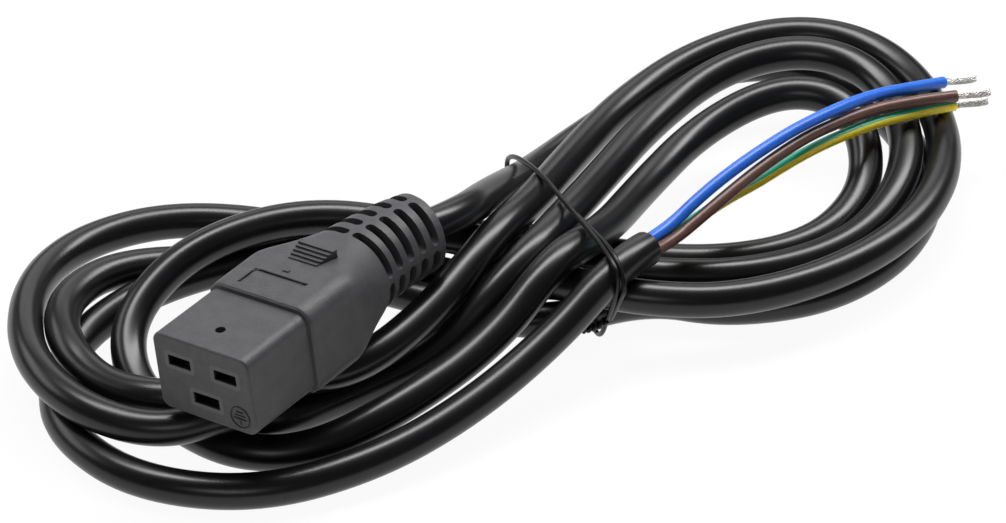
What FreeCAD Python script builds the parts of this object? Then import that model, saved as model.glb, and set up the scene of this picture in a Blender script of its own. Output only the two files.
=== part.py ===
"""C19 power connector, moulded on a three-core lead that is folded into a tied hank.

Millimetres. The origin is the centre of the mating face, -Y is the mating direction and +Z is up.
The connector is drawn level, x across, y back from the mating face and z up, and `lean` then rolls
it about the mating axis, because it lies on its own cable. The cable and all that is on it is
drawn where it lies.
"""
import math
import os

import FreeCAD
import Part

Vector = FreeCAD.Vector

os.makedirs("parts", exist_ok=True)

LEAN_ANGLE = 7.0

# Nose, the part that enters an inlet.
NOSE_HALF_WIDTH = 13.6
NOSE_HALF_HEIGHT = 9.8
NOSE_CORNER = 2.5
NOSE_LENGTH = 20.6
NOSE_LEAD_IN = 0.6
KEY_HOLE_Y = 7.6
KEY_HOLE_RADIUS = 1.2
KEY_HOLE_DEPTH = 1.8

# Grip: half width, half height and corner radius at each distance from the mating face.
GRIP = (14.7, 11.2, 4.3)
GRIP_START = 22.0
GRIP_END = 35.0
STEP_SECTIONS = [
    (NOSE_LENGTH, 13.6, 9.8, 2.5),
    (NOSE_LENGTH + 0.15, 14.25, 10.65, 3.6),
    (NOSE_LENGTH + 0.6, 14.6, 11.08, 4.1),
    (GRIP_START, 14.7, 11.2, 4.3),
]
SHOULDER_SECTIONS = [
    (GRIP_END, 14.7, 11.2, 4.3),
    (GRIP_END + 2.2, 14.5, 11.05, 4.5),
    (GRIP_END + 5.7, 13.7, 10.7, 5.4),
    (GRIP_END + 10.9, 12.8, 10.4, 8.0),
    (GRIP_END + 16.0, 11.8, 10.4, 10.1),
]

# Thumb wedge across the top of the shoulder: saw teeth that rise to the rear.
WEDGE_HALF_WIDTH = 4.0
WEDGE_FLARE = 1.2
WEDGE_START = GRIP_END + 1.5
WEDGE_TEETH = 5
TOOTH_LENGTH = 1.2
TOOTH_RISE = 0.5
TOOTH_FALL = 0.22
WEDGE_FOOT = 9.0
NIB = (1.6, 0.8, 0.3)
NIB_CENTRE = (-0.8, GRIP_END - 3.2)

# Bare recessed panel on the top of the grip: left, right, front, rear and depth.
PANEL = (-7.8, 7.0, GRIP_START + 1.4, GRIP_START + 7.6, 0.25)

# Strain relief: distance along its bent axis from the shoulder's end, and the section there.
RELIEF_SECTIONS = [
    (0.0, 11.8, 10.4, 10.1),
    (8.0, 10.8, 10.0, 9.7),
    (15.0, 10.3, 9.8, 9.6),
    (23.4, 9.5, 9.15, 8.95),
]
RELIEF_END_ROUND = 0.9
SLOT_RINGS = 5
SLOT_FIRST = 1.4
SLOT_PITCH = 4.55
SLOT_WIDTH = 2.35
SLOT_FLOOR_RADIUS = 5.9
WEB_ANGLES = (4, 84, 156, 228, 300)
WEB_WIDTH = 1.4
BEYOND = 14.0

# Contact carrier: the hard insert whose three pillars come flush through the mating face.
LIVE_X = 6.5
LIVE_Z = 3.6
EARTH_Z = -4.4
CONTACTS = {
    "line": (-LIVE_X, LIVE_Z, 6.3, 2.6),
    "neutral": (LIVE_X, LIVE_Z, 6.3, 2.6),
    "earth": (0.0, EARTH_Z, 7.3, 2.8),
}
PILLAR_RIM = 1.0
PILLAR_CORNER = 0.8
SLOT_CORNER = 0.3
PILLAR_LENGTH = 16.0
MOUTH_DEPTH = 1.5
CHAMBER_EXTRA = (0.4, 0.8)
BLOCK = (-11.5, 11.5, -7.6, 7.0)
BLOCK_END = 24.0
CAP_THICKNESS = 2.0
CAP_END = BLOCK_END + CAP_THICKNESS
CAP_HOLE_RADIUS = 2.1

# Contacts: brass strip folded into two spring leaves, with a conductor crimp and a core crimp.
BRASS = 0.5
CONTACT_FRONT = 2.2
CONTACT_BACK = 22.5
CONTACT_SIDE_GAP = 0.25
LEAF_BENDS = (4.2, 7.5, 10.5, 14.5)
LEAF_PINCH = 0.4
CONDUCTOR_CRIMP = (27.0, 32.0, 1.6)
CORE_CRIMP = (33.5, 36.5, 1.95)
STRAP_HALF_WIDTH = 1.1
CRIMP_SEAM = 0.3

# Cable: three cores in a round sheath.
SHEATH_DIAMETER = 8.3
CORE_DIAMETER = 2.9
CONDUCTOR_DIAMETER = 1.6
CORE_CIRCLE_RADIUS = 1.72
SHEATH_START = 47.0
STRAND_LENGTH = 7.5
TIE_DIAMETER = 1.2


# The cable from inside the moulding to its cut end, as it lies folded; each group is half a fold.
CABLE_ROUTE = [
    # Out of the relief and down
    (0.0, 47.0, 0.0), (0.0, 64.5, 0.0), (5.5, 86.0, -1.0), (-0.9, 104.6, -9.0), (-7.5, 129.0, -20.0),
    (-11.5, 155.0, -25.8),
    # First turn round the far end, lowest
    (-9.5, 183.0, -25.8), (1.5, 205.0, -24.5), (18.5, 214.0, -24.0), (42.0, 210.0, -25.5),
    (65.7, 193.4, -25.8), (77.2, 168.5, -25.7), (74.7, 140.4, -25.7), (58.8, 118.4, -24.6),
    (39.2, 110.8, -24.4), (27.2, 87.1, -24.5), (2.0, 81.5, -25.0),
    # Inner turn round the near end, over the lead and back
    (-25.0, 76.5, -25.8), (-47.7, 60.8, -22.9), (-61.2, 40.7, -18.6), (-61.1, 23.3, -16.9),
    (-51.8, 10.6, -16.6), (-35.6, 4.9, -19.4), (-17.3, 7.2, -16.7), (-8.7, 20.1, -18.2),
    (0.4, 28.6, -15.4), (11.0, 40.0, -15.0), (12.5, 64.8, -13.4), (10.7, 92.1, -7.7),
    # Outer turn round the far end
    (6.5, 113.0, -11.5), (-0.5, 138.0, -16.0), (-5.9, 165.1, -18.6), (-2.5, 192.2, -16.9),
    (11.7, 212.3, -14.4), (31.4, 219.5, -14.9), (52.6, 212.6, -17.4), (71.6, 191.8, -17.8),
    (79.9, 165.7, -17.4), (76.2, 138.4, -17.6), (63.0, 114.0, -17.5), (44.5, 99.0, -15.7),
    (26.3, 95.2, -16.1),
    # Outer turn round the near end
    (7.2, 92.1, -24.0), (-16.4, 88.6, -25.8), (-43.0, 84.5, -24.5), (-66.2, 68.2, -22.1),
    (-76.6, 46.3, -21.0), (-72.3, 23.2, -18.6), (-54.9, 1.6, -17.0), (-33.0, -6.5, -17.5),
    (-12.7, -1.5, -18.7), (-1.9, 12.7, -15.9), (3.4, 22.4, -22.3), (6.5, 38.5, -25.0),
    (15.0, 65.3, -24.6), (21.0, 86.2, -9.5),
    # Second turn round the far end
    (17.5, 109.5, -10.5), (11.0, 133.5, -15.0), (5.5, 161.0, -17.0), (7.5, 186.5, -14.5),
    (19.5, 202.5, -12.0), (35.0, 208.0, -13.0), (51.3, 201.9, -16.3), (66.1, 182.7, -19.3),
    (69.1, 156.8, -23.0), (56.8, 133.4, -24.2), (35.6, 115.9, -23.2),
    # Third turn round the near end
    (12.0, 103.2, -20.1), (-6.3, 85.8, -9.8), (-29.0, 70.5, -6.5), (-44.4, 48.9, -10.4),
    (-46.0, 28.0, -17.5), (-36.5, 16.0, -23.5), (-19.9, 10.8, -25.8), (-0.1, 9.0, -24.8),
    (13.7, 19.4, -24.7), (23.5, 40.5, -20.0), (28.0, 68.5, -16.5), (29.1, 90.6, -5.8),
    # Innermost turn round the far end
    (26.3, 112.9, -12.8), (19.0, 139.5, -18.0), (16.5, 166.0, -17.5), (25.2, 184.3, -12.4),
    (38.2, 191.5, -12.0), (50.3, 187.9, -17.1), (58.5, 175.4, -24.3), (58.9, 152.1, -25.8),
    (43.7, 131.8, -25.8), (19.8, 117.7, -24.6),
    # Lowest turn round the near end, to the cut end
    (-0.8, 102.9, -19.7), (-15.5, 85.5, -15.7), (-32.5, 65.0, -16.6), (-50.2, 43.1, -20.2),
    (-56.1, 22.4, -24.5), (-49.3, 4.7, -25.8), (-35.2, -7.7, -25.8), (-11.6, -11.2, -25.8),
    (12.7, 1.1, -25.8), (27.5, 24.5, -24.5), (35.0, 50.5, -21.5), (39.0, 77.0, -15.5),
    (41.5, 96.5, -6.5), (41.5, 111.5, -9.0),
]

# The three cores from the sheath's cut end to their own cut ends, lying across the far turns.
CORE_ROUTES = {
    "blue": [
        (40.9, 111.5, -7.38), (40.9, 117.42, -8.37), (42.5, 128.5, -4.8), (43.9, 138.6, -3.0),
        (45.6, 148.5, -1.8), (47.3, 158.4, -1.2), (48.6, 167.1, -1.7), (49.8, 175.3, -2.7),
        (50.6, 182.8, -4.1), (51.6, 190.2, -5.9), (53.2, 197.5, -8.0), (54.7, 204.7, -10.2),
        (56.5, 212.0, -12.3),
    ],
    "brown": [
        (43.2, 111.5, -9.28), (43.2, 117.42, -10.27), (44.4, 125.1, -8.6), (45.8, 135.3, -6.5),
        (47.0, 145.8, -5.0), (48.3, 156.3, -4.3), (49.2, 165.1, -4.7), (50.5, 173.1, -5.6),
        (52.0, 180.4, -6.4), (54.2, 187.0, -7.1), (57.3, 193.3, -7.9), (60.7, 199.1, -8.5),
        (64.5, 204.9, -9.2),
    ],
    "green_yellow": [
        (40.4, 111.5, -10.33), (40.4, 117.42, -11.32), (42.6, 128.5, -10.4), (43.9, 138.2, -10.0),
        (45.6, 147.2, -10.2), (47.6, 156.8, -9.3), (49.4, 165.2, -9.0), (51.2, 172.8, -9.2),
        (52.9, 179.6, -9.7), (55.2, 186.3, -10.1), (57.9, 192.6, -10.8), (60.9, 199.1, -11.4),
        (63.9, 205.2, -12.3),
    ],
}

# Wire tie round the crossing: its plan centre, the direction across the bundle, and its outline
# as (across, up). Its ends are twisted into a short tail low on the near side, given as it lies.
TIE_CENTRE = (15.8, 110.2)
TIE_ANGLE = -32.0
TIE_OUTLINE = [
    (28.4, -22.0), (26.2, -28.3), (20.6, -29.4), (-6.0, -28.9), (-26.5, -24.2), (-34.0, -21.5),
    (-33.0, -14.0), (-12.5, -6.8), (2.4, -5.4), (31.0, -1.8), (37.1, -6.9), (28.9, -21.2),
]
TIE_TAIL = [(40.2, 94.9, -21.4), (39.0, 93.6, -22.6), (37.3, 91.9, -23.3)]
TIE_TAIL_DIAMETER = 2.2


def rounded_outline(half_width, half_height, corner):
    """Rounded rectangle in the x-z plane, each arc tangent to the sides beside it."""
    arcs = []
    for quarter, (side_x, side_z) in enumerate([(1, 1), (-1, 1), (-1, -1), (1, -1)]):
        points = []
        for step in (0, 45, 90):
            angle = math.radians(90 * quarter + step)
            x = side_x * (half_width - corner) + corner * math.cos(angle)
            z = side_z * (half_height - corner) + corner * math.sin(angle)
            points.append(Vector(x, 0, z))
        arcs.append(points)
    edges = []
    for here, following in zip(arcs, arcs[1:] + arcs[:1]):
        edges.append(Part.Arc(*here).toShape())
        edges.append(Part.LineSegment(here[2], following[0]).toShape())
    return Part.Wire(edges)


def rounded_bar(centre_x, centre_z, half_width, half_height, corner, start, end):
    """Rounded bar along y."""
    outline = rounded_outline(half_width, half_height, corner)
    outline.translate(Vector(centre_x, start, centre_z))
    return Part.Face(outline).extrude(Vector(0, end - start, 0))


def loft_along_y(sections, ruled):
    """Solid through rounded sections given as (y, half width, half height, corner)."""
    wires = []
    for y, half_width, half_height, corner in sections:
        outline = rounded_outline(half_width, half_height, corner)
        outline.translate(Vector(0, y, 0))
        wires.append(outline)
    return Part.makeLoft(wires, True, ruled)


def barrel(radius, start, end, centre_x=0.0, centre_z=0.0):
    """Cylinder along y."""
    return Part.makeCylinder(radius, end - start, Vector(centre_x, start, centre_z), Vector(0, 1, 0))


def lean(shape):
    """The level connector, rolled about the mating axis as it lies on its cable."""
    placed = shape.copy()
    placed.rotate(Vector(0, 0, 0), Vector(0, -1, 0), LEAN_ANGLE)
    return placed


def level(point):
    """A point where the cable lies, seen from the level connector."""
    angle = math.radians(LEAN_ANGLE)
    x = point.x * math.cos(angle) + point.z * math.sin(angle)
    z = point.z * math.cos(angle) - point.x * math.sin(angle)
    return Vector(x, point.y, z)


def tube(points, diameter):
    """Round tube along straight runs joined by tangent arcs, with its arc radii and true length."""
    edges = []
    radii = []
    length = 0.0
    reached = points[0]
    for before, here, after in zip(points, points[1:], points[2:]):
        back = before - here
        ahead = after - here
        tangent_length = 0.45 * min(back.Length, ahead.Length)
        turn = math.pi - back.getAngle(ahead)
        radius = tangent_length / math.tan(turn / 2)
        back.normalize()
        ahead.normalize()
        start = here + back * tangent_length
        end = here + ahead * tangent_length
        inward = back + ahead
        inward.normalize()
        middle = here + inward * (radius / math.cos(turn / 2) - radius)
        edges.append(Part.LineSegment(reached, start).toShape())
        edges.append(Part.Arc(start, middle, end).toShape())
        length += (start - reached).Length + radius * turn
        radii.append(round(radius, 1))
        reached = end
    edges.append(Part.LineSegment(reached, points[-1]).toShape())
    length += (points[-1] - reached).Length
    path = Part.Wire(edges)
    first_run = points[1] - points[0]
    section = Part.Wire(Part.makeCircle(diameter / 2, points[0], first_run))
    solid = path.makePipeShell([section], True, False)
    return solid, radii, length


def relief_bend(route):
    """Bend axis, whole angle and radius of the strain relief, which ends along the route's second run."""
    start, corner, after = [level(point) for point in route[:3]]
    run = after - corner
    across = Vector(run.x, 0, run.z)
    angle = math.atan2(across.Length, run.y)
    across.normalize()
    tangent_length = corner.y - SHOULDER_SECTIONS[-1][0]
    radius = tangent_length / math.tan(angle / 2)
    return Vector(0, 1, 0).cross(across), across, radius


def on_relief(shape, distance, bend):
    """Moves a shape drawn round the y axis at y = 0 to a distance along the relief's bent axis."""
    axis, across, radius = bend
    angle = distance / radius
    placed = shape.copy()
    placed.rotate(Vector(0, 0, 0), axis, math.degrees(angle))
    along = Vector(0, SHOULDER_SECTIONS[-1][0] + radius * math.sin(angle), 0)
    placed.translate(along + across * (radius * (1 - math.cos(angle))))
    return placed


def slot_ring():
    """Cutter of one ring of slots round the y axis, the webs between them left out, ends rounded."""
    half = SLOT_WIDTH / 2
    ring = barrel(BEYOND, -half, half).cut(barrel(SLOT_FLOOR_RADIUS, -half, half))
    half_gap = WEB_WIDTH / 2 + half
    for angle in WEB_ANGLES:
        web = Part.makeBox(BEYOND + 1, SLOT_WIDTH, 2 * half_gap, Vector(0, -half, -half_gap))
        web.rotate(Vector(0, 0, 0), Vector(0, -1, 0), angle)
        ring = ring.cut(web)
    for angle in WEB_ANGLES:
        for side in (-half_gap, half_gap):
            end = Part.makeCylinder(
                half, BEYOND - SLOT_FLOOR_RADIUS, Vector(SLOT_FLOOR_RADIUS, 0, side), Vector(1, 0, 0)
            )
            end.rotate(Vector(0, 0, 0), Vector(0, -1, 0), angle)
            ring = ring.fuse(end)
    return ring


def strain_relief(bend):
    """Tapered relief on a bent axis, with its rings of slots cut to the floor radius."""
    wires = []
    for distance, half_width, half_height, corner in RELIEF_SECTIONS:
        wires.append(on_relief(rounded_outline(half_width, half_height, corner), distance, bend))
    relief = Part.makeLoft(wires, True, False)
    end_face = max(relief.Faces, key=lambda face: face.CenterOfMass.y)
    relief = relief.makeFillet(RELIEF_END_ROUND, end_face.Edges)
    for ring in range(SLOT_RINGS):
        relief = relief.cut(on_relief(slot_ring(), SLOT_FIRST + ring * SLOT_PITCH, bend))
    return relief


def thumb_wedge():
    """Saw-tooth wedge that stops the thumb, drawn in profile, flaring to the rear."""
    y = WEDGE_START
    z = GRIP[1] - TOOTH_RISE / 2
    profile = [(y, WEDGE_FOOT)]
    for tooth in range(WEDGE_TEETH):
        profile.append((y, z))
        z += TOOTH_RISE
        profile.append((y, z))
        y += TOOTH_LENGTH
        if tooth < WEDGE_TEETH - 1:
            z -= TOOTH_FALL
            profile.append((y, z))
    profile += [(y, z), (y, WEDGE_FOOT)]
    rear_half_width = WEDGE_HALF_WIDTH + WEDGE_FLARE
    points = [Vector(-rear_half_width, along, up) for along, up in profile]
    outline = Part.makePolygon(points + points[:1])
    teeth = Part.Face(outline).extrude(Vector(2 * rear_half_width, 0, 0))
    corners = [
        Vector(-WEDGE_HALF_WIDTH, WEDGE_START, WEDGE_FOOT), Vector(WEDGE_HALF_WIDTH, WEDGE_START, WEDGE_FOOT),
        Vector(rear_half_width, y, WEDGE_FOOT), Vector(-rear_half_width, y, WEDGE_FOOT),
    ]
    plan = Part.Face(Part.makePolygon(corners + corners[:1]))
    return teeth.common(plan.extrude(Vector(0, 0, BEYOND)))


def connector_body(bend):
    """Outer shape of the moulding: nose, step, grip, shoulder, relief, wedge, nib and panel."""
    nose = rounded_bar(0, 0, NOSE_HALF_WIDTH, NOSE_HALF_HEIGHT, NOSE_CORNER, 0, NOSE_LENGTH)
    front_edges = [edge for edge in nose.Edges if edge.BoundBox.YMax < 0.01]
    nose = nose.makeFillet(NOSE_LEAD_IN, front_edges)
    key_hole = Part.makeCylinder(
        KEY_HOLE_RADIUS, KEY_HOLE_DEPTH, Vector(0, KEY_HOLE_Y, NOSE_HALF_HEIGHT - KEY_HOLE_DEPTH)
    )
    nose = nose.cut(key_hole)
    step = loft_along_y(STEP_SECTIONS, True)
    grip = rounded_bar(0, 0, *GRIP, GRIP_START, GRIP_END)
    shoulder = loft_along_y(SHOULDER_SECTIONS, False)
    width, length, height = NIB
    nib = Part.makeBox(
        width, length, 2 * height,
        Vector(NIB_CENTRE[0] - width / 2, NIB_CENTRE[1] - length / 2, GRIP[1] - height),
    )
    left, right, front, rear, depth = PANEL
    panel = Part.makeBox(right - left, rear - front, BEYOND, Vector(left, front, GRIP[1] - depth))
    body = nose.fuse([step, grip.cut(panel), shoulder, strain_relief(bend), thumb_wedge(), nib])
    return body.removeSplitter()


def carrier_envelope():
    """Outer shape of the carrier with its cap: three pillars on a block."""
    left, right, bottom, top = BLOCK
    shapes = []
    for x, z, width, height in CONTACTS.values():
        half_width = width / 2 + PILLAR_RIM
        half_height = height / 2 + PILLAR_RIM
        shapes.append(rounded_bar(x, z, half_width, half_height, PILLAR_CORNER, 0, PILLAR_LENGTH))
    block = Part.makeBox(
        right - left, CAP_END - PILLAR_LENGTH, top - bottom, Vector(left, PILLAR_LENGTH, bottom)
    )
    return block.fuse(shapes)


def chamber(name):
    """Inside of one pillar: the slot at the face and the wider chamber that holds the contact."""
    x, z, width, height = CONTACTS[name]
    extra_width, extra_height = CHAMBER_EXTRA
    mouth = rounded_bar(x, z, width / 2, height / 2, SLOT_CORNER, 0, MOUTH_DEPTH)
    room = Part.makeBox(
        width + extra_width, BLOCK_END - MOUTH_DEPTH, height + extra_height,
        Vector(x - (width + extra_width) / 2, MOUTH_DEPTH, z - (height + extra_height) / 2),
    )
    return mouth.fuse(room)


def contact_carrier():
    """Carrier without its cap, each pillar hollow."""
    beyond_cap = Part.makeBox(
        4 * BEYOND, 4 * BEYOND, 4 * BEYOND, Vector(-2 * BEYOND, BLOCK_END, -2 * BEYOND)
    )
    body = carrier_envelope().cut(beyond_cap)
    for name in CONTACTS:
        body = body.cut(chamber(name))
    return body.removeSplitter()


def carrier_cap():
    """Plate that closes the back of the carrier, with a hole behind each contact."""
    left, right, bottom, top = BLOCK
    plate = Part.makeBox(right - left, CAP_END - BLOCK_END, top - bottom, Vector(left, BLOCK_END, bottom))
    for x, z, width, height in CONTACTS.values():
        plate = plate.cut(barrel(CAP_HOLE_RADIUS, BLOCK_END, CAP_END, x, z))
    return plate


def leaf(x, z, width, outside, side):
    """One spring leaf of a contact: it pinches in the middle and lies on the chamber's wall elsewhere."""
    pinch = LEAF_PINCH * side
    wall = z + outside * side
    skin = -BRASS * side
    mouth, front, rear, foot = LEAF_BENDS
    outer = [
        (CONTACT_FRONT, wall), (mouth, wall - pinch / 2), (front, wall - pinch), (rear, wall - pinch),
        (foot, wall), (CONTACT_BACK, wall),
    ]
    points = [Vector(x - width / 2, y, height) for y, height in outer]
    points += [Vector(x - width / 2, y, height + skin) for y, height in reversed(outer)]
    outline = Part.makePolygon(points + points[:1])
    return Part.Face(outline).extrude(Vector(width, 0, 0))


def crimp(x, z, crimp_size, inner_radius):
    """Crimp barrel with its seam along the top."""
    start, end, radius = crimp_size
    ring = barrel(radius, start, end, x, z).cut(barrel(inner_radius, start, end, x, z))
    seam = Part.makeBox(CRIMP_SEAM, end - start, radius, Vector(x - CRIMP_SEAM / 2, start, z))
    return ring.cut(seam)


def contact(name):
    """Folded brass contact: two leaves, a back, a strap and two crimps."""
    x, z, slot_width, slot_height = CONTACTS[name]
    width = slot_width + CHAMBER_EXTRA[0] - CONTACT_SIDE_GAP
    outside = (slot_height + CHAMBER_EXTRA[1]) / 2
    back = Part.makeBox(
        width, BRASS, 2 * outside, Vector(x - width / 2, CONTACT_BACK - BRASS, z - outside)
    )
    conductor_crimp = crimp(x, z, CONDUCTOR_CRIMP, CONDUCTOR_DIAMETER / 2)
    core_crimp = crimp(x, z, CORE_CRIMP, CORE_DIAMETER / 2)
    strap_top = z - CONDUCTOR_CRIMP[2] + BRASS
    strap_length = CORE_CRIMP[0] - CONTACT_BACK + BRASS
    strap = Part.makeBox(
        2 * STRAP_HALF_WIDTH, strap_length, BRASS,
        Vector(x - STRAP_HALF_WIDTH, CONTACT_BACK - BRASS, strap_top - BRASS),
    )
    strap = strap.cut(barrel(CONDUCTOR_DIAMETER / 2, *CONDUCTOR_CRIMP[:2], x, z))
    leaves = [leaf(x, z, width, outside, side) for side in (-1, 1)]
    return back.fuse(leaves + [strap, conductor_crimp, core_crimp]).removeSplitter()


def core_offset(name, radius):
    """Place of a core round the cable's axis, as (across, up)."""
    angle = math.radians({"line": 150, "neutral": 30, "earth": 270}[name])
    return radius * math.cos(angle), radius * math.sin(angle)


def inner_conductor(name):
    """Bare conductor inside the conductor crimp."""
    x, z, width, height = CONTACTS[name]
    return barrel(CONDUCTOR_DIAMETER / 2, CONDUCTOR_CRIMP[0], CORE_CRIMP[0], x, z)


def inner_core(name):
    """Insulated core between its crimp and the end of the sheath."""
    x, z, width, height = CONTACTS[name]
    across, up = core_offset(name, CORE_CIRCLE_RADIUS)
    points = [
        Vector(x, CORE_CRIMP[0], z),
        Vector(x, CORE_CRIMP[1] + 2.6, z),
        Vector(across, SHEATH_START - 2.0, up),
        Vector(across, SHEATH_START, up),
    ]
    return tube(points, CORE_DIAMETER)[0]


def cores_at_end():
    """Solid cores and their tinned strands beyond the sheath's cut end."""
    shapes = {}
    for colour, route in CORE_ROUTES.items():
        points = [Vector(*point) for point in route]
        shapes["core_" + colour], radii, length = tube(points, CORE_DIAMETER)
        print("core", colour, "radii", radii, "length", round(length, 1))
        direction = points[-1] - points[-2]
        strands = Part.makeCylinder(CONDUCTOR_DIAMETER / 2, STRAND_LENGTH, points[-1], direction)
        shapes["strands_" + colour] = strands
    return shapes


def in_tie_plane(across, up):
    """Point of the tie's outline where it lies."""
    angle = math.radians(TIE_ANGLE)
    x = TIE_CENTRE[0] + across * math.cos(angle)
    y = TIE_CENTRE[1] + across * math.sin(angle)
    return Vector(x, y, up)


def wire_tie():
    """Wire round the bundle with its twisted tail."""
    ring, radii, length = tube([in_tie_plane(*point) for point in TIE_OUTLINE], TIE_DIAMETER)
    tail = tube([Vector(*point) for point in TIE_TAIL], TIE_TAIL_DIAMETER)[0]
    print("tie radii", radii, "length", round(length, 1))
    return ring.fuse(tail)


def main():
    route = [Vector(*point) for point in CABLE_ROUTE]
    sheath, radii, length = tube(route, SHEATH_DIAMETER)
    expected = math.pi * (SHEATH_DIAMETER / 2) ** 2 * length
    print("sheath radii", radii)
    print("sheath length", round(length, 1), "volume ratio", round(sheath.Volume / expected, 4))
    shapes = {"cable_sheath": sheath, "wire_tie": wire_tie()}
    shapes.update(cores_at_end())

    bend = relief_bend(route)
    inside = {"contact_carrier": contact_carrier(), "carrier_cap": carrier_cap()}
    for name in CONTACTS:
        inside["contact_" + name] = contact(name)
        inside["conductor_" + name] = inner_conductor(name)
        inside["inner_core_" + name] = inner_core(name)
    inside = {name: lean(shape) for name, shape in inside.items()}

    moulding = lean(connector_body(bend)).cut(lean(carrier_envelope()))
    for name, shape in inside.items():
        if name not in ("contact_carrier", "carrier_cap"):
            moulding = moulding.cut(shape)
    shapes["overmould"] = moulding.cut(sheath)
    shapes.update(inside)

    for name, shape in shapes.items():
        solid = shape.Solids[0] if len(shape.Solids) == 1 else shape
        print(name, "solids", len(shape.Solids), "valid", shape.isValid(), "volume", round(shape.Volume, 1))
        solid.exportStep("parts/" + name + ".step")


main()
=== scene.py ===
"""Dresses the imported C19 connector and its tied lead: cords first, then trim, materials and light."""
import math

import bpy
from mathutils import Matrix, Vector


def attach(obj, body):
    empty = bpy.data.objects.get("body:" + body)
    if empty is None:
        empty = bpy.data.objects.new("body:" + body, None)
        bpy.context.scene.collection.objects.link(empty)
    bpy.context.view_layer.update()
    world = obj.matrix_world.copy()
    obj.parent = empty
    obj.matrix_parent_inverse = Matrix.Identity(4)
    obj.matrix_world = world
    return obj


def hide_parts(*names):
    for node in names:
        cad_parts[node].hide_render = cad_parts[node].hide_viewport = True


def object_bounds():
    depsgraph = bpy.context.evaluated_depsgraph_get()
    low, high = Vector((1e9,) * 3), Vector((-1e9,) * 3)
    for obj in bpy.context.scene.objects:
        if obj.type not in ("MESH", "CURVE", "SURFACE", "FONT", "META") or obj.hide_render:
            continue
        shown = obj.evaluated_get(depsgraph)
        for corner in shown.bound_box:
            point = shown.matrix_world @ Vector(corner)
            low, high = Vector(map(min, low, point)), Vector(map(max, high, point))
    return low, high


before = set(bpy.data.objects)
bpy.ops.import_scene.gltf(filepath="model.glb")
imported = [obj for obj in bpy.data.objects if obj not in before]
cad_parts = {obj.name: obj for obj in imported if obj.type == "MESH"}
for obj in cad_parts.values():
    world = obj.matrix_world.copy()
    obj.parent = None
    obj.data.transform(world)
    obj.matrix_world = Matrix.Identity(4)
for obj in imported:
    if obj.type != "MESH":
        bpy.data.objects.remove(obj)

cad_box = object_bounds()

# Sizes in metres, angles in degrees; the connector's own are those of the solids.
LEAN_ANGLE = 7.0
SHEATH_DIAMETER = 0.0083
CORE_DIAMETER = 0.0029
TIE_DIAMETER = 0.0012

# Camera: where it stands round its target, and its lens in millimetres.
CAMERA_AZIMUTH = 36.55
CAMERA_ELEVATION = 35.87
CAMERA_DISTANCE = 0.97271
CAMERA_TARGET = Vector((0.0810, 0.0, 0.06788))
CAMERA_LENS = 172.84
CAMERA_SENSOR = 36.0
CAMERA_NEAREST = 0.01
CAMERA_FARTHEST = 50.0

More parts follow.
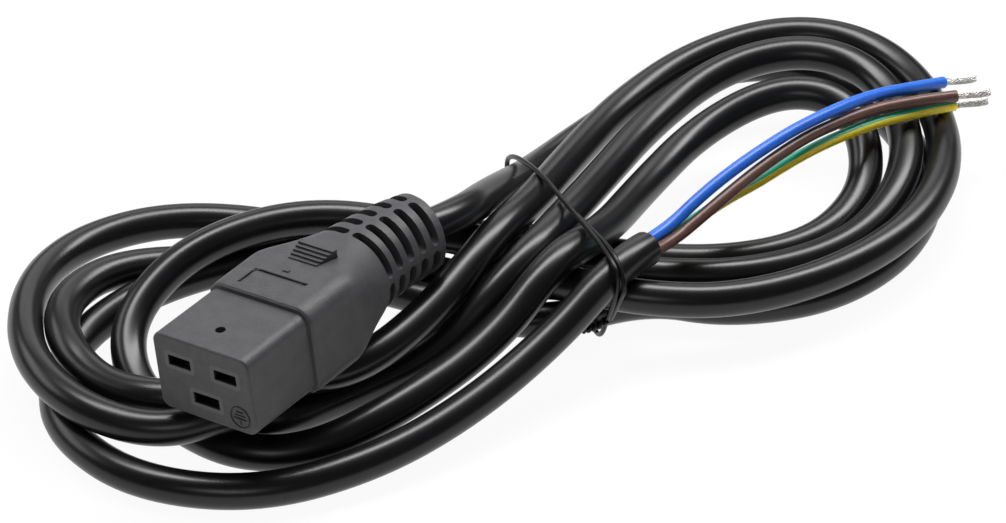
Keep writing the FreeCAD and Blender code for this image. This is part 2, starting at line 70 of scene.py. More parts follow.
# The cable's route from inside the moulding to its cut end.
CABLE_ROUTE = [
    # Out of the relief and down
    (0.0, 0.05, 0.0), (0.0, 0.0645, 0.0), (0.0055, 0.086, -0.001), (-0.0009, 0.1046, -0.009),
    (-0.0075, 0.129, -0.02), (-0.0115, 0.155, -0.0258),
    # First turn round the far end, lowest
    (-0.0095, 0.183, -0.0258), (0.0015, 0.205, -0.0245), (0.0185, 0.214, -0.024),
    (0.042, 0.21, -0.0255), (0.0657, 0.1934, -0.0258), (0.0772, 0.1685, -0.0257),
    (0.0747, 0.1404, -0.0257), (0.0588, 0.1184, -0.0246), (0.0392, 0.1108, -0.0244),
    (0.0272, 0.0871, -0.0245), (0.002, 0.0815, -0.025),
    # Inner turn round the near end, over the lead and back
    (-0.025, 0.0765, -0.0258), (-0.0477, 0.0608, -0.0229), (-0.0612, 0.0407, -0.0186),
    (-0.0611, 0.0233, -0.0169), (-0.0518, 0.0106, -0.0166), (-0.0356, 0.0049, -0.0194),
    (-0.0173, 0.0072, -0.0167), (-0.0087, 0.0201, -0.0182), (0.0004, 0.0286, -0.0154),
    (0.011, 0.04, -0.015), (0.0125, 0.0648, -0.0134), (0.0107, 0.0921, -0.0077),
    # Outer turn round the far end
    (0.0065, 0.113, -0.0115), (-0.0005, 0.138, -0.016), (-0.0059, 0.1651, -0.0186),
    (-0.0025, 0.1922, -0.0169), (0.0117, 0.2123, -0.0144), (0.0314, 0.2195, -0.0149),
    (0.0526, 0.2126, -0.0174), (0.0716, 0.1918, -0.0178), (0.0799, 0.1657, -0.0174),
    (0.0762, 0.1384, -0.0176), (0.063, 0.114, -0.0175), (0.0445, 0.099, -0.0157),
    (0.0263, 0.0952, -0.0161),
    # Outer turn round the near end
    (0.0072, 0.0921, -0.024), (-0.0164, 0.0886, -0.0258), (-0.043, 0.0845, -0.0245),
    (-0.0662, 0.0682, -0.0221), (-0.0766, 0.0463, -0.021), (-0.0723, 0.0232, -0.0186),
    (-0.0549, 0.0016, -0.017), (-0.033, -0.0065, -0.0175), (-0.0127, -0.0015, -0.0187),
    (-0.0019, 0.0127, -0.0159), (0.0034, 0.0224, -0.0223), (0.0065, 0.0385, -0.025),
    (0.015, 0.0653, -0.0246), (0.021, 0.0862, -0.0095),
    # Second turn round the far end
    (0.0175, 0.1095, -0.0105), (0.011, 0.1335, -0.015), (0.0055, 0.161, -0.017),
    (0.0075, 0.1865, -0.0145), (0.0195, 0.2025, -0.012), (0.035, 0.208, -0.013),
    (0.0513, 0.2019, -0.0163), (0.0661, 0.1827, -0.0193), (0.0691, 0.1568, -0.023),
    (0.0568, 0.1334, -0.0242), (0.0356, 0.1159, -0.0232),
    # Third turn round the near end
    (0.012, 0.1032, -0.0201), (-0.0063, 0.0858, -0.0098), (-0.029, 0.0705, -0.0065),
    (-0.0444, 0.0489, -0.0104), (-0.046, 0.028, -0.0175), (-0.0365, 0.016, -0.0235),
    (-0.0199, 0.0108, -0.0258), (-0.0001, 0.009, -0.0248), (0.0137, 0.0194, -0.0247),
    (0.0235, 0.0405, -0.02), (0.028, 0.0685, -0.0165), (0.0291, 0.0906, -0.0058),
    # Innermost turn round the far end
    (0.0263, 0.1129, -0.0128), (0.019, 0.1395, -0.018), (0.0165, 0.166, -0.0175),
    (0.0252, 0.1843, -0.0124), (0.0382, 0.1915, -0.012), (0.0503, 0.1879, -0.0171),
    (0.0585, 0.1754, -0.0243), (0.0589, 0.1521, -0.0258), (0.0437, 0.1318, -0.0258),
    (0.0198, 0.1177, -0.0246),
    # Lowest turn round the near end, to the cut end
    (-0.0008, 0.1029, -0.0197), (-0.0155, 0.0855, -0.0157), (-0.0325, 0.065, -0.0166),
    (-0.0502, 0.0431, -0.0202), (-0.0561, 0.0224, -0.0245), (-0.0493, 0.0047, -0.0258),
    (-0.0352, -0.0077, -0.0258), (-0.0116, -0.0112, -0.0258), (0.0127, 0.0011, -0.0258),
    (0.0275, 0.0245, -0.0245), (0.035, 0.0505, -0.0215), (0.039, 0.077, -0.0155),
    (0.0415, 0.0965, -0.0065), (0.0415, 0.10834, -0.00847),
]

# The cores from the sheath's cut end to their tinned ends.
CORE_ROUTES = {
    "blue": [
        (0.0409, 0.10834, -0.00685), (0.0409, 0.11742, -0.00837), (0.0425, 0.1285, -0.0048),
        (0.0439, 0.1386, -0.003), (0.0456, 0.1485, -0.0018), (0.0473, 0.1584, -0.0012),
        (0.0486, 0.1671, -0.0017), (0.0498, 0.1753, -0.0027), (0.0506, 0.1828, -0.0041),
        (0.0516, 0.1902, -0.0059), (0.0532, 0.1975, -0.008), (0.0547, 0.2047, -0.0102),
        (0.0565, 0.212, -0.0123),
    ],
    "brown": [
        (0.0432, 0.10834, -0.00875), (0.0432, 0.11742, -0.01027), (0.0444, 0.1251, -0.0086),
        (0.0458, 0.1353, -0.0065), (0.047, 0.1458, -0.005), (0.0483, 0.1563, -0.0043),
        (0.0492, 0.1651, -0.0047), (0.0505, 0.1731, -0.0056), (0.052, 0.1804, -0.0064),
        (0.0542, 0.187, -0.0071), (0.0573, 0.1933, -0.0079), (0.0607, 0.1991, -0.0085),
        (0.0645, 0.2049, -0.0092),
    ],
    "green_yellow": [
        (0.0404, 0.10834, -0.0098), (0.0404, 0.11742, -0.01132), (0.0426, 0.1285, -0.0104),
        (0.0439, 0.1382, -0.01), (0.0456, 0.1472, -0.0102), (0.0476, 0.1568, -0.0093),
        (0.0494, 0.1652, -0.009), (0.0512, 0.1728, -0.0092), (0.0529, 0.1796, -0.0097),
        (0.0552, 0.1863, -0.0101), (0.0579, 0.1926, -0.0108), (0.0609, 0.1991, -0.0114),
        (0.0639, 0.2052, -0.0123),
    ],
}

# The tie's plan centre, its direction across the bundle, and its outline as (across, up).
TIE_CENTRE = (0.0158, 0.1102)
TIE_ANGLE = math.radians(-32.0)
TIE_OUTLINE = [
    (0.0284, -0.022), (0.0262, -0.0283), (0.0206, -0.0294), (-0.006, -0.0289), (-0.0265, -0.0242),
    (-0.034, -0.0215), (-0.033, -0.014), (-0.0125, -0.0068), (0.0024, -0.0054), (0.031, -0.0018),
    (0.0371, -0.0069), (0.0289, -0.0212),
]
# The second lap as (across, up, distance beside the first).
TIE_SECOND_LAP = [
    (0.0090, -0.0047, 0.0002), (0.0180, -0.0034, 0.0008), (0.0310, -0.0018, 0.0011),
    (0.0371, -0.0069, 0.0011), (0.0340, -0.0125, 0.0011), (0.0289, -0.0212, 0.0009),
]
# The twisted ends, from the wrap outward.
TIE_TAIL = [
    (0.0402, 0.0949, -0.0214), (0.0390, 0.0936, -0.0226), (0.0373, 0.0919, -0.0233),
    (0.0363, 0.0911, -0.0236),
]
# The wire is drawn a little thinner where two lengths of it lie side by side.
TIE_PAIRED_RADIUS = TIE_DIAMETER * 0.46
TIE_TWIST_RINGS = [(2, 0.0005)]
TIE_TWIST_PITCH = 0.0028
TIE_TWIST_SIDES = 14

# Bare strands: one in the middle and two rings round it, as (strands, radius of the ring).
STRAND_RINGS = [(1, 0.0), (6, 0.00040), (10, 0.00078)]
STRAND_RADIUS = 0.00016
STRAND_SIDES = 8
STRAND_REACH = 0.0088
STRAND_STEPS = 18
# Turns over the whole reach, and the share of a ring's radius that a strand may spring outward.
STRAND_TURNS = 0.8
STRAND_SPRING = 0.4
# How far the strands reach back into the insulation, where they point after their bend, and the
# share of their reach that the bend takes.
STRAND_HIDDEN = 0.0004
STRAND_WAY = Vector((0.79, 0.60, 0.10))
STRAND_BEND = 0.4

# The earth core has so many sides, and these of them are green, counted from its right upward.
STRIPE_SIDES = 24
STRIPE_GREEN = range(3, 12)

# Earth sign: centre on the mating face, ring radius, half its line's width, and how far it stands out.
SIGN_CENTRE = (0.0093, -0.0057)
SIGN_RADIUS = 0.00265
SIGN_HALF_LINE = 0.00019
SIGN_PROUD = 0.00003
SIGN_RING_STEPS = 40
# The stem and the three bars in ring radii, as their two ends (across, up).
SIGN_STROKES = [
    [(0.0, -0.72), (0.0, -0.16)],
    [(-0.68, -0.16), (0.68, -0.16)],
    [(-0.52, 0.16), (0.52, 0.16)],
    [(-0.34, 0.48), (0.34, 0.48)],
]

# Painted shadow line along two sides of the bare recessed panel on the grip's top, where its walls are in
# shade, with a round corner between them.
PANEL_LEFT = -0.0078
PANEL_RIGHT = 0.0070
PANEL_FRONT = 0.0234
PANEL_REAR = 0.0296
PANEL_CORNER = 0.0014
PANEL_CORNER_STEPS = 6
PANEL_HALF_LINE = 0.00022
# Height over the connector's axis from which the line is dropped onto the grip.
ABOVE_GRIP = 0.03

# Roundness of a tube's section, finer for cords than for thin lines, and steps between route points.
CORD_ROUNDNESS = 8
LINE_ROUNDNESS = 2
CORD_STEPS = 12

# Floor, world and lamps.
FLOOR_HEIGHT = cad_box[0][2]
FLOOR_REACH = 3.0
FLOOR_COLOUR = (0.8, 0.8, 0.8)
FLOOR_WHITENESS = 0.94
WORLD_STRENGTH = 0.08
LAMP_AIM = Vector((0.0, 0.09, -0.02))
# Each lamp's place, length, width, power in watts, and the direction of its length.
LAMPS = {
    "overhead": ((-0.12, 0.5, 0.95), 1.6, 0.30, 22.0, (0.53, 0.85, 0.0)),
    "back": ((-0.73, 0.87, 0.52), 0.9, 0.5, 2.1, (0.75, 0.65, 0.0)),
    "left": ((-0.9, -0.2, 0.5), 0.8, 0.35, 2.6, (0.0, 1.0, 0.0)),
    "front": ((0.5, -0.9, 0.7), 0.5, 0.3, 1.3, (1.0, 0.0, 0.0)),
}


def add_object(name, data):
    """Links a new object to the scene."""
    made = bpy.data.objects.new(name, data)
    bpy.context.scene.collection.objects.link(made)
    return made


def place_camera():
    """Camera at its angle and distance, aimed at its target."""
    azimuth = math.radians(CAMERA_AZIMUTH)
    elevation = math.radians(CAMERA_ELEVATION)
    outward = Vector((
        math.sin(azimuth) * math.cos(elevation),
        -math.cos(azimuth) * math.cos(elevation),
        math.sin(elevation),
    ))
    camera = add_object("camera", bpy.data.cameras.new("camera"))
    camera.data.lens = CAMERA_LENS
    camera.data.sensor_width = CAMERA_SENSOR
    camera.data.clip_start = CAMERA_NEAREST
    camera.data.clip_end = CAMERA_FARTHEST
    camera.location = CAMERA_TARGET + outward * CAMERA_DISTANCE
    camera.rotation_euler = (-outward).to_track_quat("-Z", "Y").to_euler()
    bpy.context.scene.camera = camera


# ---- nodes

COLOUR = "NodeSocketColor"
NUMBER = "NodeSocketFloat"
COUNT = "NodeSocketInt"
SWITCH = "NodeSocketBool"
DIRECTION = "NodeSocketVector"
SHAPE = "NodeSocketGeometry"
FINISH = "NodeSocketMaterial"


def put(tree, kind, inputs=(), **settings):
    """New node with its settings, its inputs joined to other sockets or set to values."""
    node = tree.nodes.new(kind)
    for name, value in settings.items():
        setattr(node, name, value)
    for name, value in dict(inputs).items():
        if isinstance(value, bpy.types.NodeSocket):
            tree.links.new(value, node.inputs[name])
        else:
            node.inputs[name].default_value = value
    return node


def maths(tree, operation, *values):
    """Result of a calculation on sockets or numbers."""
    return put(tree, "ShaderNodeMath", enumerate(values), operation=operation).outputs["Value"]


def open_group(name, kind, inputs, output, output_kind):
    """Empty group with named sockets; returns its tree, what comes in and what goes out."""
    tree = bpy.data.node_groups.new(name, kind)
    for label, socket_kind in inputs.items():
        tree.interface.new_socket(label, in_out="INPUT", socket_type=socket_kind)
    tree.interface.new_socket(output, in_out="OUTPUT", socket_type=output_kind)
    return tree, put(tree, "NodeGroupInput").outputs, put(tree, "NodeGroupOutput").inputs


# ---- finishes

def object_noise(tree, scale, detail):
    """Noise in the object's own metres."""
    place = put(tree, "ShaderNodeTexCoord")
    noise = put(tree, "ShaderNodeTexNoise", {
        "Vector": place.outputs["Object"], "Scale": scale, "Detail": detail,
    })
    return noise.outputs["Fac"]


# The ranges of noise that the tint and the gloss spread over their two ends.
TINT_NOISE = (0.35, 0.65)
GLOSS_NOISE = (0.3, 0.7)


def cloudy_tint_group():
    """Colour that drifts between a dark and a light shade."""
    inputs = {"Dark": COLOUR, "Light": COLOUR, "Scale": NUMBER, "Detail": NUMBER}
    tree, given, result = open_group("cloudy_tint", "ShaderNodeTree", inputs, "Colour", COLOUR)
    noise = object_noise(tree, given["Scale"], given["Detail"])
    share = put(tree, "ShaderNodeMapRange", {
        "Value": noise, "From Min": TINT_NOISE[0], "From Max": TINT_NOISE[1],
    })
    # A colour mix has its two colours on sockets 6 and 7 and its result on 2.
    mix = put(tree, "ShaderNodeMix", {
        "Factor": share.outputs["Result"], 6: given["Dark"], 7: given["Light"],
    }, data_type="RGBA")
    tree.links.new(mix.outputs[2], result["Colour"])
    return tree


def uneven_gloss_group():
    """Roughness that drifts between two values."""
    inputs = {"Low": NUMBER, "High": NUMBER, "Scale": NUMBER, "Detail": NUMBER}
    tree, given, result = open_group("uneven_gloss", "ShaderNodeTree", inputs, "Roughness", NUMBER)
    span = put(tree, "ShaderNodeMapRange", {
        "Value": object_noise(tree, given["Scale"], given["Detail"]),
        "From Min": GLOSS_NOISE[0], "From Max": GLOSS_NOISE[1],
        "To Min": given["Low"], "To Max": given["High"],
    })
    tree.links.new(span.outputs["Result"], result["Roughness"])
    return tree


def fine_grain_group():
    """Tiny hills and hollows of a moulded or drawn surface."""
    inputs = {"Scale": NUMBER, "Detail": NUMBER, "Strength": NUMBER, "Height": NUMBER}
    tree, given, result = open_group("fine_grain", "ShaderNodeTree", inputs, "Normal", DIRECTION)
    bump = put(tree, "ShaderNodeBump", {
        "Height": object_noise(tree, given["Scale"], given["Detail"]),
        "Strength": given["Strength"], "Distance": given["Height"],
    })
    tree.links.new(bump.outputs["Normal"], result["Normal"])
    return tree


CLOUDY_TINT = cloudy_tint_group()
UNEVEN_GLOSS = uneven_gloss_group()
FINE_GRAIN = fine_grain_group()


def principled(name, colour, roughness, metallic=0.0, specular=0.5):
    """New material with its shader's own sockets set; returns it with its tree and shader."""
    material = bpy.data.materials.new(name)
    material.use_nodes = True
    shader = material.node_tree.nodes["Principled BSDF"]
    shader.inputs["Base Color"].default_value = (*colour, 1.0)
    shader.inputs["Roughness"].default_value = roughness
    shader.inputs["Metallic"].default_value = metallic
    shader.inputs["Specular IOR Level"].default_value = specular
    return material, material.node_tree, shader


def tint(tree, shader, dark, light, scale, detail=2.0):
    """Gives a finish its cloudy tint."""
    group = put(tree, "ShaderNodeGroup", {
        "Dark": (*dark, 1.0), "Light": (*light, 1.0), "Scale": scale, "Detail": detail,
    }, node_tree=CLOUDY_TINT)
    tree.links.new(group.outputs["Colour"], shader.inputs["Base Color"])


def gloss(tree, shader, low, high, scale, detail=2.0):
    """Gives a finish its uneven gloss."""
    group = put(tree, "ShaderNodeGroup", {
        "Low": low, "High": high, "Scale": scale, "Detail": detail,
    }, node_tree=UNEVEN_GLOSS)
    tree.links.new(group.outputs["Roughness"], shader.inputs["Roughness"])


def grain(tree, shader, strength, height, scale, detail=2.0):
    """Gives a finish its fine grain."""
    group = put(tree, "ShaderNodeGroup", {
        "Scale": scale, "Detail": detail, "Strength": strength, "Height": height,
    }, node_tree=FINE_GRAIN)
    tree.links.new(group.outputs["Normal"], shader.inputs["Normal"])


def moulded_plastic(name, dark, light, roughness):
    """Spark-eroded mould finish: a fine even grain with faint cloudiness."""
    material, tree, shader = principled(name, light, roughness, specular=0.45)
    tint(tree, shader, dark, light, scale=260.0, detail=4.0)
    gloss(tree, shader, low=roughness - 0.05, high=roughness + 0.05, scale=900.0)
    grain(tree, shader, strength=0.5, height=0.0002, scale=2600.0, detail=4.0)
    return material


def extruded_plastic(name, colour, roughness, darker=0.8, specular=0.5):
    """Smooth extruded insulation with a very slight unevenness."""
    material, tree, shader = principled(name, colour, roughness, specular=specular)
    tint(tree, shader, [channel * darker for channel in colour], colour, scale=120.0)
    gloss(tree, shader, low=roughness - 0.02, high=roughness + 0.03, scale=45.0)
    grain(tree, shader, strength=0.04, height=0.0001, scale=500.0)
    return material


def core_plastic(name, colour, darker):
    """Coloured insulation that lets a little light through to its shaded side."""
    material = extruded_plastic(name, colour, roughness=0.36, darker=darker)
    shader = material.node_tree.nodes["Principled BSDF"]
    shader.inputs["Subsurface Weight"].default_value = 0.6
    shader.inputs["Subsurface Radius"].default_value = (1.0, 1.0, 1.0)
    shader.inputs["Subsurface Scale"].default_value = 0.0015
    return material


def carrier_plastic(name, colour, shade, lit_depth, dark_depth):
    """Insert plastic painted darker deeper into its slots: painted shade on the slot walls behind the
    mouth.
    """
    material, tree, shader = principled(name, colour, roughness=0.5, specular=0.45)
    gloss(tree, shader, low=0.45, high=0.55, scale=900.0)
    place = put(tree, "ShaderNodeTexCoord")
    split = put(tree, "ShaderNodeSeparateXYZ", {"Vector": place.outputs["Object"]})
    depth = put(tree, "ShaderNodeMapRange", {
        "Value": split.outputs["Y"], "From Min": lit_depth, "From Max": dark_depth,
    })
    # Painted shade: the colour runs from its plain colour at the mouth to near black deeper in the slot.
    ramp = put(tree, "ShaderNodeValToRGB", {"Fac": depth.outputs["Result"]})
    ramp.color_ramp.elements[0].color = (*colour, 1.0)
    ramp.color_ramp.elements[1].color = (*shade, 1.0)
    tree.links.new(ramp.outputs["Color"], shader.inputs["Base Color"])
    return material


def bright_metal(name, dark, light, roughness):
    """Bare metal, a little streaky in colour and gloss."""
    material, tree, shader = principled(name, light, roughness, metallic=1.0)
    tint(tree, shader, dark, light, scale=1500.0)
    gloss(tree, shader, low=roughness - 0.08, high=roughness + 0.1, scale=2600.0)
    return material


MOULDING = moulded_plastic("moulding", (0.038, 0.0375, 0.041), (0.049, 0.0485, 0.052), roughness=0.48)
# The moulding's plastic drawn darker: painted shade for the earth sign's engraved lines and the panel's
# recess walls.
SIGN_PAINTED_SHADE = moulded_plastic("sign_painted_shade", (0.012, 0.012, 0.013), (0.016, 0.016, 0.017), roughness=0.6)
# The carrier's second colour is painted shade for the slot walls beyond the mouth.
CARRIER = carrier_plastic(
    "carrier", (0.075, 0.075, 0.080), (0.004, 0.004, 0.004), lit_depth=0.0001, dark_depth=0.0006,
)
CABLE_BLACK = extruded_plastic("cable_black", (0.0045, 0.0045, 0.0055), roughness=0.29, specular=0.43)
TIE_BLACK = extruded_plastic("tie_black", (0.004, 0.004, 0.004), roughness=0.3, specular=0.25)
BLUE = core_plastic("core_blue", (0.012, 0.135, 0.62), darker=0.92)
BROWN = core_plastic("core_brown", (0.115, 0.052, 0.038), darker=0.9)
GREEN = core_plastic("core_green", (0.06, 0.54, 0.35), darker=0.94)
YELLOW = core_plastic("core_yellow", (1.0, 0.78, 0.05), darker=0.96)
# The brass is drawn far darker than brass: painted shade of the contacts deep inside the slots.
BRASS = bright_metal("contact_brass", (0.16, 0.12, 0.06), (0.24, 0.18, 0.09), roughness=0.4)
TINNED = bright_metal("tinned_copper", (0.55, 0.54, 0.51), (0.86, 0.85, 0.82), roughness=0.28)

NODE_FINISHES = {
    "overmould": MOULDING, "contact_carrier": CARRIER, "carrier_cap": CARRIER,
    "contact_line": BRASS, "contact_neutral": BRASS, "contact_earth": BRASS,
    "conductor_line": TINNED, "conductor_neutral": TINNED, "conductor_earth": TINNED,
    "inner_core_line": BROWN, "inner_core_neutral": BLUE, "inner_core_earth": GREEN,
}


def dress_nodes():
    """Gives every solid that no piece stands for its finish."""
    for name, material in NODE_FINISHES.items():
        node = bpy.data.objects[name]
        node.data.materials.clear()
        node.data.materials.append(material)


# ---- lines and tubes

def bevelled_curve(name, radius, roundness, material):
    """Curve data with a round section and closed ends."""
    data = bpy.data.curves.new(name, "CURVE")
    data.dimensions = "3D"
    data.bevel_depth = radius
    data.bevel_resolution = roundness
    data.use_fill_caps = True
    data.materials.append(material)
    return data


def add_stretch(data, points, kind="POLY"):
    """Adds one stretch through the points to a curve."""
    stretch = data.splines.new(kind)
    stretch.points.add(len(points) - 1)
    for point, place in zip(stretch.points, points):
        point.co = (*place, 1.0)
    return stretch


def smooth_tube(name, points, radius, material):
    """Round tube along one smooth line that the points steer."""
    data = bevelled_curve(name, radius, CORD_ROUNDNESS, material)
    data.resolution_u = CORD_STEPS
    stretch = add_stretch(data, points, "NURBS")
    stretch.order_u = 3
    stretch.use_endpoint_u = True
    return add_object(name, data)


def plain_mesh(source):
    """Mesh of an object as it looks with its modifiers; the object itself goes."""
    bpy.context.view_layer.update()
    depsgraph = bpy.context.evaluated_depsgraph_get()
    mesh = bpy.data.meshes.new_from_object(source.evaluated_get(depsgraph))
    bpy.data.objects.remove(source)
    return mesh


def smooth_line(points):
    """Points along the line that a smooth tube follows."""
    mesh = plain_mesh(smooth_tube("bare_line", points, 0.0, None))
    line = [vertex.co.copy() for vertex in mesh.vertices]
    bpy.data.meshes.remove(mesh)
    return line


def line_length(line):
    """Length of a line given as points."""
    return sum((b - a).length for a, b in zip(line, line[1:]))


# ---- wires laid round a path

# Each wire gets its own number between -1 and 1, from a step for each wire and one for each ring's count.
WIRE_STEP = 7.0
RING_STEP = 3.0
# Wires whose number is below this end one step early, where they are told to.
SHORT_BELOW = -0.3
LAST_POINT = 0.99
# Wires stay together at first and spring outward near their end.
SPRING_POWER = 3.0


def wire_ring(tree, given, path, wires, ring_radius):
    """One ring of wires that turn about the path, in a tree for laid wires."""
    copies = put(tree, "GeometryNodeDuplicateElements", {
        "Geometry": path, "Amount": wires,
    }, domain="SPLINE")
    number = copies.outputs["Duplicate Index"]
    step = put(tree, "GeometryNodeSplineParameter").outputs["Index"]
    points = put(tree, "GeometryNodeSplineLength").outputs["Point Count"]
    along = maths(tree, "DIVIDE", step, maths(tree, "SUBTRACT", points, 1.0))

    # Where each wire stands round the path, and how far it springs outward towards its end.
    turned = maths(tree, "MULTIPLY_ADD", given["Turns"], along, maths(tree, "DIVIDE", number, wires))
    angle = maths(tree, "MULTIPLY", turned, math.tau)
    ring_share = maths(tree, "MULTIPLY", wires, RING_STEP)
    own = maths(tree, "SINE", maths(tree, "MULTIPLY_ADD", number, WIRE_STEP, ring_share))
    sprung = maths(tree, "MULTIPLY", maths(tree, "POWER", along, SPRING_POWER), given["Spring"])
    sprung = maths(tree, "MULTIPLY", sprung, own)
    spread = maths(tree, "MULTIPLY_ADD", sprung, ring_radius, ring_radius)

    right = put(tree, "GeometryNodeInputNormal").outputs["Normal"]
    ahead = put(tree, "GeometryNodeInputTangent").outputs["Tangent"]
    up = put(tree, "ShaderNodeVectorMath", {0: right, 1: ahead}, operation="CROSS_PRODUCT")
    shifts = []
    for direction, share in ((right, "COSINE"), (up.outputs["Vector"], "SINE")):
        reach = maths(tree, "MULTIPLY", spread, maths(tree, share, angle))
        shift = put(tree, "ShaderNodeVectorMath", {0: direction, "Scale": reach}, operation="SCALE")
        shifts.append(shift.outputs["Vector"])
    offset = put(tree, "ShaderNodeVectorMath", enumerate(shifts), operation="ADD")
    laid = put(tree, "GeometryNodeSetPosition", {
        "Geometry": copies.outputs["Geometry"], "Offset": offset.outputs["Vector"],
    })

    # Some wires end one step early.
    early = maths(tree, "MULTIPLY", maths(tree, "LESS_THAN", own, SHORT_BELOW), given["Some Short"])
    last = maths(tree, "GREATER_THAN", along, LAST_POINT)
    trimmed = put(tree, "GeometryNodeDeleteGeometry", {
        "Geometry": laid.outputs["Geometry"], "Selection": maths(tree, "MULTIPLY", early, last),
    }, domain="POINT")
    return trimmed.outputs["Geometry"]


def laid_wires_tree(name, rings):
    """Tree that lays so many rings of wires round the path it is given."""
    inputs = {
        "Path": SHAPE, "Wire Radius": NUMBER, "Sides": COUNT, "Turns": NUMBER, "Spring": NUMBER,
        "Some Short": SWITCH, "Finish": FINISH,
    }
    for ring in range(rings):
        inputs[f"Wires in Ring {ring}"] = COUNT
        inputs[f"Radius of Ring {ring}"] = NUMBER
    tree, given, result = open_group(name, "GeometryNodeTree", inputs, "Wires", SHAPE)
    path = put(tree, "GeometryNodeMeshToCurve", {"Mesh": given["Path"]}).outputs["Curve"]
    lines = put(tree, "GeometryNodeJoinGeometry")
    for ring in range(rings):
        wires = given[f"Wires in Ring {ring}"]
        radius = given[f"Radius of Ring {ring}"]
        tree.links.new(wire_ring(tree, given, path, wires, radius), lines.inputs["Geometry"])
    section = put(tree, "GeometryNodeCurvePrimitiveCircle", {
        "Resolution": given["Sides"], "Radius": given["Wire Radius"],
    })
    solid = put(tree, "GeometryNodeCurveToMesh", {
        "Curve": lines.outputs["Geometry"], "Profile Curve": section.outputs["Curve"],
        "Fill Caps": True,
    })
    smooth = put(tree, "GeometryNodeSetShadeSmooth", {"Geometry": solid.outputs["Mesh"]})
    real = put(tree, "GeometryNodeRealizeInstances", {"Geometry": smooth.outputs["Geometry"]})
    finished = put(tree, "GeometryNodeSetMaterial", {
        "Geometry": real.outputs["Geometry"], "Material": given["Finish"],
    })
    tree.links.new(finished.outputs["Geometry"], result["Wires"])
    return tree


STRANDED_CORE = laid_wires_tree("stranded_core", len(STRAND_RINGS))
TWISTED_ENDS = laid_wires_tree("twisted_ends", len(TIE_TWIST_RINGS))


def lay_wires(name, tree, line, rings, sizes):
    """Piece made of wires laid round a line, with the tree's inputs set from the rings and sizes."""
    values = dict(sizes)
    for ring, (wires, radius) in enumerate(rings):
        values[f"Wires in Ring {ring}"] = wires
        values[f"Radius of Ring {ring}"] = radius
    path = bpy.data.meshes.new("path")
    path.from_pydata(line, [(step, step + 1) for step in range(len(line) - 1)], [])
    source = add_object("path", path)
    modifier = source.modifiers.new("laid_wires", "NODES")
    modifier.node_group = tree
    for socket in tree.interface.items_tree:
        if socket.name in values:
            modifier[socket.identifier] = values[socket.name]
    mesh = plain_mesh(source)
    mesh.name = name
    bpy.data.meshes.remove(path)
    return add_object(name, mesh)


def bare_strands(name, start, direction):
    """Twisted tinned strands of one core, bent sideways; some a little short or sprung outward."""
    line = [start]
    for step in range(STRAND_STEPS):
        bend = min(1.0, step / (STRAND_BEND * STRAND_STEPS))
        way = direction.lerp(STRAND_WAY, bend).normalized()
        line.append(line[-1] + way * (STRAND_REACH / STRAND_STEPS))
    return lay_wires(name, STRANDED_CORE, line, STRAND_RINGS, {
        "Wire Radius": STRAND_RADIUS, "Sides": STRAND_SIDES, "Turns": STRAND_TURNS,
        "Spring": STRAND_SPRING, "Some Short": True, "Finish": TINNED,
    })


# ---- tie

def in_tie_plane(across, up):
    """Point of the tie's outline where it lies."""
    return Vector((
        TIE_CENTRE[0] + across * math.cos(TIE_ANGLE), TIE_CENTRE[1] + across * math.sin(TIE_ANGLE), up,
    ))


def tie_ring():
    """The tie's lap round the bundle."""
    points = [in_tie_plane(*point) for point in TIE_OUTLINE]
    return smooth_tube("tie_ring", points, TIE_DIAMETER / 2, TIE_BLACK)


def tie_double():
    """The tie's second lap, beside the first over the near cables."""
    sideways = Vector((-math.sin(TIE_ANGLE), math.cos(TIE_ANGLE), 0.0))
    points = [in_tie_plane(across, up) + sideways * beside for across, up, beside in TIE_SECOND_LAP]
    return smooth_tube("tie_double", points, TIE_PAIRED_RADIUS, TIE_BLACK)


def tie_twist():
    """The tie's two ends twisted round each other."""
    line = smooth_line(TIE_TAIL)
    return lay_wires("tie_twist", TWISTED_ENDS, line, TIE_TWIST_RINGS, {
        "Wire Radius": TIE_PAIRED_RADIUS, "Sides": TIE_TWIST_SIDES,
        "Turns": line_length(line) / TIE_TWIST_PITCH, "Finish": TIE_BLACK,
    })


def make_tie():
    """The whole tie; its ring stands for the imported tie."""
    ring = tie_ring()
    pieces = [ring, tie_double(), tie_twist()]
    for piece in pieces:
        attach(piece, "root")
    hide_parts("wire_tie")
    return pieces


# ---- cords

def frames_along(line):
    """Right and up directions carried along a line without twist."""
    up = Vector((0.0, 0.0, 1.0))
    frames = []
    for index in range(len(line)):
        ahead = line[min(index + 1, len(line) - 1)] - line[max(index - 1, 0)]
        ahead.normalize()
        right = ahead.cross(up).normalized()
        up = right.cross(ahead).normalized()
        frames.append((right, up))
    return frames


def striped_tube(name, line, radius):
    """Yellow tube with a green stripe along one side."""
    vertices = []
    for point, (right, up) in zip(line, frames_along(line)):
        for side in range(STRIPE_SIDES):
            angle = math.tau * side / STRIPE_SIDES
            vertices.append(point + right * (radius * math.cos(angle)) + up * (radius * math.sin(angle)))
    faces = []
    finishes = []
    for ring in range(len(line) - 1):
        near = ring * STRIPE_SIDES
        far = near + STRIPE_SIDES
        for side in range(STRIPE_SIDES):
            following = (side + 1) % STRIPE_SIDES
            faces.append((near + side, far + side, far + following, near + following))
            finishes.append(1 if side in STRIPE_GREEN else 0)
    last = (len(line) - 1) * STRIPE_SIDES
    faces.append(tuple(range(STRIPE_SIDES)))
    faces.append(tuple(reversed(range(last, last + STRIPE_SIDES))))
    finishes += [0, 0]
    mesh = bpy.data.meshes.new(name)
    mesh.from_pydata(vertices, [], faces)
    mesh.materials.append(YELLOW)
    mesh.materials.append(GREEN)
    for face, finish in zip(mesh.polygons, finishes):
        face.material_index = finish
        face.use_smooth = len(face.vertices) == 4
    mesh.validate()
    mesh.update()
    return add_object(name, mesh)


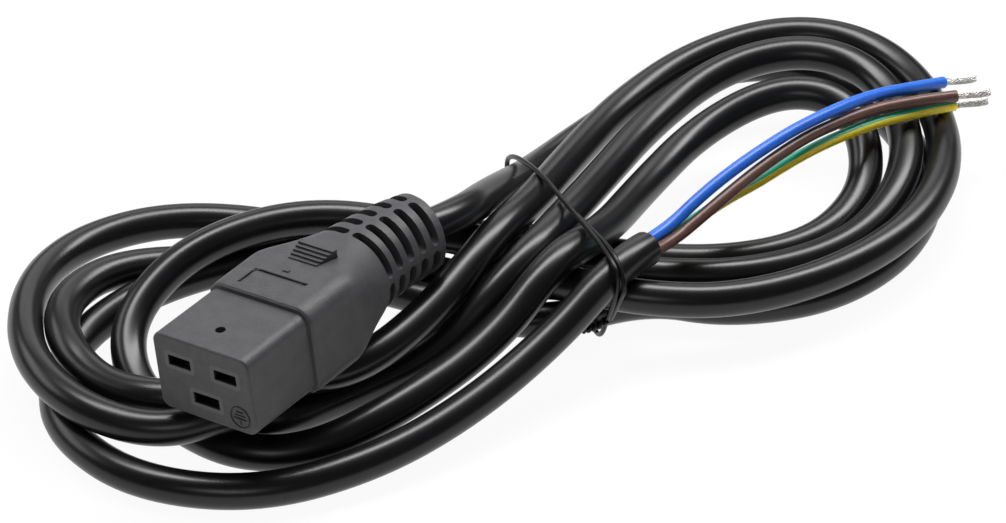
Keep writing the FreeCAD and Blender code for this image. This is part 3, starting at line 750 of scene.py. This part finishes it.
def make_sheath(tie):
    """The cable's sheath; the tie it is given is not used."""
    sheath = smooth_tube("sheath", CABLE_ROUTE, SHEATH_DIAMETER / 2, CABLE_BLACK)
    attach(sheath, "root")
    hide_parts("cable_sheath")


def make_core(colour, route, finish, slot):
    """One core beyond the sheath's end with its bare strands; without a finish it is striped."""
    line = smooth_line(route)
    if finish is None:
        core = striped_tube("lead_" + colour, line, CORE_DIAMETER / 2)
    else:
        core = smooth_tube("lead_" + colour, route, CORE_DIAMETER / 2, finish)
    end = Vector(route[-1])
    direction = (end - Vector(route[-2])).normalized()
    strands = bare_strands("wires_" + colour, end - direction * STRAND_HIDDEN, direction)
    for piece, node, node_slot in (
        (core, "core_" + colour, slot), (strands, "strands_" + colour, "tinned_copper"),
    ):
        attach(piece, "root")
        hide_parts(node)


def make_cords():
    """Tie, sheath and the three cores at its end."""
    make_sheath(make_tie())
    make_core("blue", CORE_ROUTES["blue"], BLUE, "blue_core")
    make_core("brown", CORE_ROUTES["brown"], BROWN, "brown_core")
    make_core("green_yellow", CORE_ROUTES["green_yellow"], None, "earth_core")


# ---- signs and painted shadow on the moulding

def on_face(across, up):
    """Point on the leaning mating face, a hair in front of it."""
    angle = math.radians(LEAN_ANGLE)
    return Vector((
        across * math.cos(angle) - up * math.sin(angle),
        -SIGN_PROUD,
        across * math.sin(angle) + up * math.cos(angle),
    ))


def circle(steps):
    """Points round a circle of radius one."""
    angles = [math.tau * step / steps for step in range(steps)]
    return [(math.cos(angle), math.sin(angle)) for angle in angles]


def earth_sign():
    """Generic earth symbol in a ring: a stem and three bars, drawn dark as painted shade in its engraved
    lines.
    """
    data = bevelled_curve("earth_sign", SIGN_HALF_LINE, LINE_ROUNDNESS, SIGN_PAINTED_SHADE)
    ring = circle(SIGN_RING_STEPS)
    for stroke in [ring] + SIGN_STROKES:
        stretch = add_stretch(data, [
            on_face(SIGN_CENTRE[0] + SIGN_RADIUS * across, SIGN_CENTRE[1] + SIGN_RADIUS * up)
            for across, up in stroke
        ])
        stretch.use_cyclic_u = stroke is ring
    return add_object("earth_sign", data)


def on_grip_top(across, along):
    """Point where a line dropped square to the leaning grip meets its top."""
    angle = math.radians(LEAN_ANGLE)
    outward = Vector((-math.sin(angle), 0.0, math.cos(angle)))
    above = Vector((math.cos(angle), 0.0, math.sin(angle))) * across + outward * ABOVE_GRIP
    above.y = along
    return bpy.data.objects["overmould"].ray_cast(above, -outward)[1]


def panel_shadow_line():
    """Painted shadow line along the left and rear sides of the bare panel, where the recess walls are in
    shade.
    """
    route = [(PANEL_LEFT, PANEL_FRONT)]
    for step in range(PANEL_CORNER_STEPS + 1):
        angle = math.pi / 2 * step / PANEL_CORNER_STEPS
        route.append((
            PANEL_LEFT + PANEL_CORNER * (1 - math.cos(angle)),
            PANEL_REAR - PANEL_CORNER * (1 - math.sin(angle)),
        ))
    route.append((PANEL_RIGHT, PANEL_REAR))
    data = bevelled_curve("panel_shadow_line", PANEL_HALF_LINE, LINE_ROUNDNESS, SIGN_PAINTED_SHADE)
    add_stretch(data, [on_grip_top(across, along) for across, along in route])
    return add_object("panel_shadow_line", data)


def make_sign_and_shadow_lines():
    """Everything drawn on the connector's moulding: the earth sign and the panel's painted shadow line.
    """
    for sign in (earth_sign(), panel_shadow_line()):
        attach(sign, "root")


# ---- stage

def background_rays(tree):
    """One for a ray from the camera, a reflection or glass, and zero for any other."""
    path = put(tree, "ShaderNodeLightPath").outputs
    seen_or_mirrored = maths(tree, "MAXIMUM", path["Is Camera Ray"], path["Is Glossy Ray"])
    return maths(tree, "MAXIMUM", seen_or_mirrored, path["Is Transmission Ray"])


def make_floor():
    """Pale floor that looks nearly white and keeps the object's shadow."""
    mesh = bpy.data.meshes.new("floor")
    signs = [(-1, -1), (1, -1), (1, 1), (-1, 1)]
    corners = [(FLOOR_REACH * x, FLOOR_REACH * y, FLOOR_HEIGHT) for x, y in signs]
    mesh.from_pydata(corners, [], [(0, 1, 2, 3)])
    floor = add_object("floor", mesh)
    material, tree, shader = principled("floor", FLOOR_COLOUR, roughness=0.9, specular=0.1)
    glow = put(tree, "ShaderNodeEmission")
    mix = put(tree, "ShaderNodeMixShader", {
        "Fac": maths(tree, "MULTIPLY", background_rays(tree), FLOOR_WHITENESS),
        1: shader.outputs["BSDF"], 2: glow.outputs["Emission"],
    })
    tree.links.new(mix.outputs["Shader"], tree.nodes["Material Output"].inputs["Surface"])
    floor.data.materials.append(material)


def make_world():
    """Faint even light all round, which the camera sees as white."""
    world = bpy.data.worlds.new("studio")
    world.use_nodes = True
    tree = world.node_tree
    light = tree.nodes["Background"]
    light.inputs["Color"].default_value = (1.0, 1.0, 1.0, 1.0)
    light.inputs["Strength"].default_value = WORLD_STRENGTH
    white = put(tree, "ShaderNodeBackground", {"Strength": 1.0})
    seen = put(tree, "ShaderNodeLightPath")
    mix = put(tree, "ShaderNodeMixShader", {
        "Fac": seen.outputs["Is Camera Ray"],
        1: light.outputs["Background"], 2: white.outputs["Background"],
    })
    tree.links.new(mix.outputs["Shader"], tree.nodes["World Output"].inputs["Surface"])
    bpy.context.scene.world = world


def add_lamp(name, place, length, width, power, along):
    """Area lamp aimed at the object, its long side along a given direction."""
    light = bpy.data.lights.new(name, "AREA")
    light.shape = "RECTANGLE"
    light.size = length
    light.size_y = width
    light.energy = power
    back = (Vector(place) - LAMP_AIM).normalized()
    side = Vector(along)
    side = (side - back * side.dot(back)).normalized()
    turn = Matrix((side, back.cross(side), back)).transposed()
    add_object(name, light).matrix_world = Matrix.Translation(place) @ turn.to_4x4()


place_camera()
make_cords()
dress_nodes()
make_sign_and_shadow_lines()
make_floor()
make_world()
for lamp, settings in LAMPS.items():
    add_lamp(lamp, *settings)
bpy.context.scene.view_settings.view_transform = "Standard"
